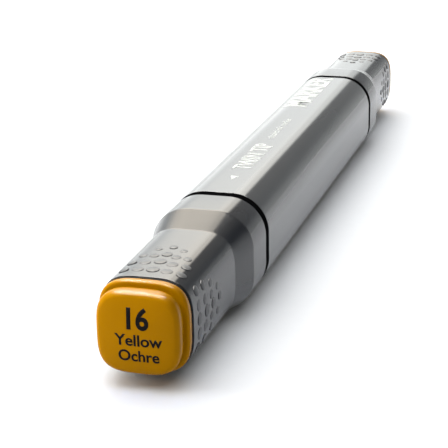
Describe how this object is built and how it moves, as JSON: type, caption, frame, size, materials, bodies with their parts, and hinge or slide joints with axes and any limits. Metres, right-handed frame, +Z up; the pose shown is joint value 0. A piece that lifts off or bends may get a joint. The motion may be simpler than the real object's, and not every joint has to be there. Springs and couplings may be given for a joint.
{
  "type": "felt tip marker",
  "caption": "Twin-tip felt marker with a rounded-square barrel, slimmer pull-off caps with dotted grips, and a coloured cushion plug on each cap end.",
  "frame": {"origin": "centre of the flat side the marker rests on, at the bottom of its bounding box", "axes": "+X along the marker towards the fine nib, -X towards the broad nib; +Z up from the side it rests on; +Y completes a right-handed frame"},
  "size_m": [0.152, 0.015, 0.015],
  "materials": {
    "barrel_grey": "satin-gloss moulded grey plastic",
    "cap_grey": "satin-gloss moulded grey plastic",
    "plug_broad": "gloss moulded ochre yellow, the ink's colour",
    "plug_fine": "gloss moulded ochre yellow, the ink's colour",
    "holder_black": "satin moulded black plastic",
    "liner_black": "satin moulded black plastic",
    "nib_felt": "pressed fibre soaked with ochre ink",
    "reservoir_fibre": "bundled fibre soaked with ochre ink",
    "film_clear": "thin translucent wrapping film"
  },
  "bodies": {
    "barrel_body": {"barrel": "barrel_grey", "ink_reservoir": "reservoir_fibre", "reservoir_film": "film_clear", "broad_nib_holder": "holder_black", "broad_nib": "nib_felt", "fine_nib_holder": "holder_black", "fine_nib": "nib_felt"},
    "broad_cap": {"broad_cap_shell": "cap_grey", "broad_cap_liner": "liner_black", "broad_cap_plug": "plug_broad"},
    "fine_cap": {"fine_cap_shell": "cap_grey", "fine_cap_liner": "liner_black", "fine_cap_plug": "plug_fine"}
  },
  "joints": [
    {"name": "broad_cap_pull", "type": "slide", "parent": "barrel_body", "child": "broad_cap", "axis": [-1, 0, 0], "range_m": [0, 0.045]},
    {"name": "fine_cap_pull", "type": "slide", "parent": "barrel_body", "child": "fine_cap", "axis": [1, 0, 0], "range_m": [0, 0.045]}
  ]
}
